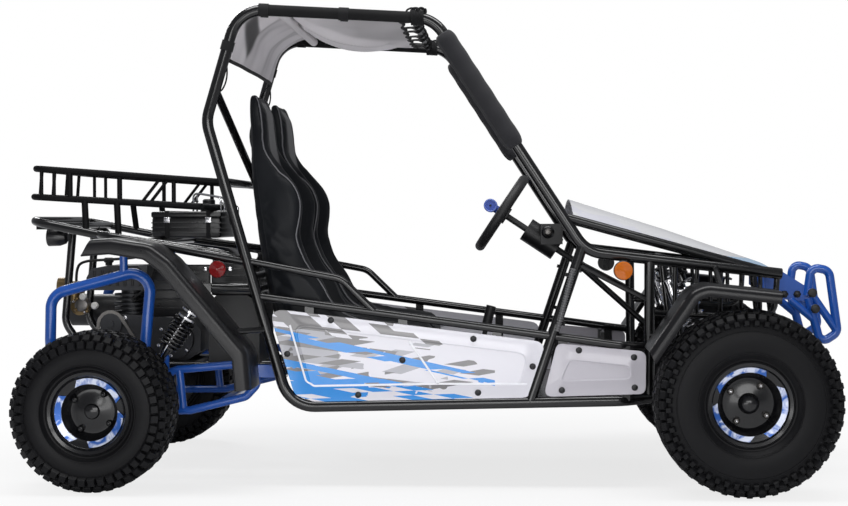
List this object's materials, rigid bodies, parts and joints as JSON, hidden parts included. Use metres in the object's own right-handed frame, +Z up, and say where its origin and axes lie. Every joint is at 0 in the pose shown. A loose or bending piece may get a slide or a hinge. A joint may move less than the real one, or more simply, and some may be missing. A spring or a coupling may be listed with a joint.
{
  "type": "two-seat off-road buggy",
  "caption": "Open tube-frame off-road buggy with two bucket seats, roll cage, sagging roof cloth, rear carrier rack, knobbly tyres, blue guards and steered front wheels.",
  "frame": {"origin": "centre of the bounding box on the ground", "axes": "+X forward, +Y to the vehicle's left, +Z up"},
  "size_m": [2.2531, 1.184, 1.2879],
  "materials": {
    "frame_black": "gloss",
    "frame_blue": "gloss",
    "panel_white": "gloss",
    "guard_black": "gloss",
    "seat_black": "satin",
    "canopy_cloth": "matt",
    "foam_black": "matt",
    "engine_metal": "satin",
    "bronze": "satin",
    "exhaust_black": "satin",
    "tank_black": "gloss",
    "amber_lens": "gloss",
    "red_lens": "gloss",
    "lamp_body": "gloss",
    "plastic_black": "satin",
    "steel": "satin",
    "blue_pad": "satin",
    "tyre_black": "matt",
    "rim_black": "gloss"
  },
  "bodies": {
    "chassis": {"cage_right": "frame_black", "cage_left": "frame_black", "cage_crossbars": "frame_black", "hoop_brace": "frame_black", "side_posts": "frame_black", "side_rails": "frame_black", "hip_rails": "frame_black", "nose_tubes": "frame_black", "front_frame": "frame_black", "nose_slats": "frame_black", "rear_frame": "frame_black", "rack_rails": "frame_black", "rack_bars": "frame_black", "floor_pan": "frame_black", "brackets": "frame_black", "side_panels": "panel_white", "bonnet": "panel_white", "mudguards": "guard_black", "rear_guard": "frame_blue", "swing_arm": "frame_blue", "front_bumper": "frame_blue", "front_arms": "frame_black", "shocks": "steel", "shock_arms": "frame_black", "engine": "engine_metal", "exhaust": "exhaust_black", "carburettor": "bronze", "chain": "steel", "air_box": "plastic_black", "tank": "tank_black", "seats": "seat_black", "canopy": "canopy_cloth", "pillar_pads": "foam_black", "side_lamps": "amber_lens", "tail_lamps": "red_lens", "rear_lamps": "lamp_body", "dash": "plastic_black", "controls": "plastic_black", "rack_housing": "engine_metal"},
    "steering_wheel": {"steering_wheel": "plastic_black", "wheel_pad": "blue_pad"},
    "steering_shaft": {"steering_shaft": "frame_black"},
    "steering_rack": {"tie_rods": "steel"},
    "knuckle_right": {"knuckle_right": "frame_black"},
    "knuckle_left": {"knuckle_left": "frame_black"},
    "wheel_front_right": {"tyre_front_right": "tyre_black", "rim_front_right": "rim_black"},
    "wheel_front_left": {"tyre_front_left": "tyre_black", "rim_front_left": "rim_black"},
    "rear_axle": {"rear_axle": "steel", "tyres_rear": "tyre_black", "rims_rear": "rim_black"}
  },
  "joints": [
    {"name": "steering_wheel_turn", "type": "hinge", "parent": "chassis", "child": "steering_wheel", "pos_m": [0.18214, 0.195, 0.733], "axis": [0.8339, 0, -0.5519], "range_deg": [-90, 90]},
    {"name": "steering_shaft_turn", "type": "hinge", "parent": "chassis", "child": "steering_shaft", "pos_m": [0.40061, 0.195, 0.58839], "axis": [0.7118, -0.2961, -0.6369], "range_deg": [-90, 90]},
    {"name": "steering_rack_slide", "type": "slide", "parent": "chassis", "child": "steering_rack", "axis": [0, 1, 0], "range_m": [-0.0246, 0.0246]},
    {"name": "knuckle_right_turn", "type": "hinge", "parent": "chassis", "child": "knuckle_right", "pos_m": [0.81714, -0.462, 0.2415], "axis": [0, 0, 1], "range_deg": [-20, 20]},
    {"name": "knuckle_left_turn", "type": "hinge", "parent": "chassis", "child": "knuckle_left", "pos_m": [0.81714, 0.462, 0.2415], "axis": [0, 0, 1], "range_deg": [-20, 20]},
    {"name": "wheel_front_right_spin", "type": "hinge", "parent": "knuckle_right", "child": "wheel_front_right", "pos_m": [0.81714, -0.503, 0.2415], "axis": [0, 1, 0], "continuous": true},
    {"name": "wheel_front_left_spin", "type": "hinge", "parent": "knuckle_left", "child": "wheel_front_left", "pos_m": [0.81714, 0.503, 0.2415], "axis": [0, 1, 0], "continuous": true},
    {"name": "rear_axle_spin", "type": "hinge", "parent": "chassis", "child": "rear_axle", "pos_m": [-0.88786, 0, 0.212], "axis": [0, 1, 0], "continuous": true}
  ],
  "couplings": [
    {"joint": "steering_shaft_turn", "follows": "steering_wheel_turn", "ratio": 1},
    {"joint": "steering_rack_slide", "follows": "steering_wheel_turn", "m_per_rad": 0.01554},
    {"joint": "knuckle_right_turn", "follows": "steering_wheel_turn", "ratio": -0.2222},
    {"joint": "knuckle_left_turn", "follows": "steering_wheel_turn", "ratio": -0.2222}
  ]
}
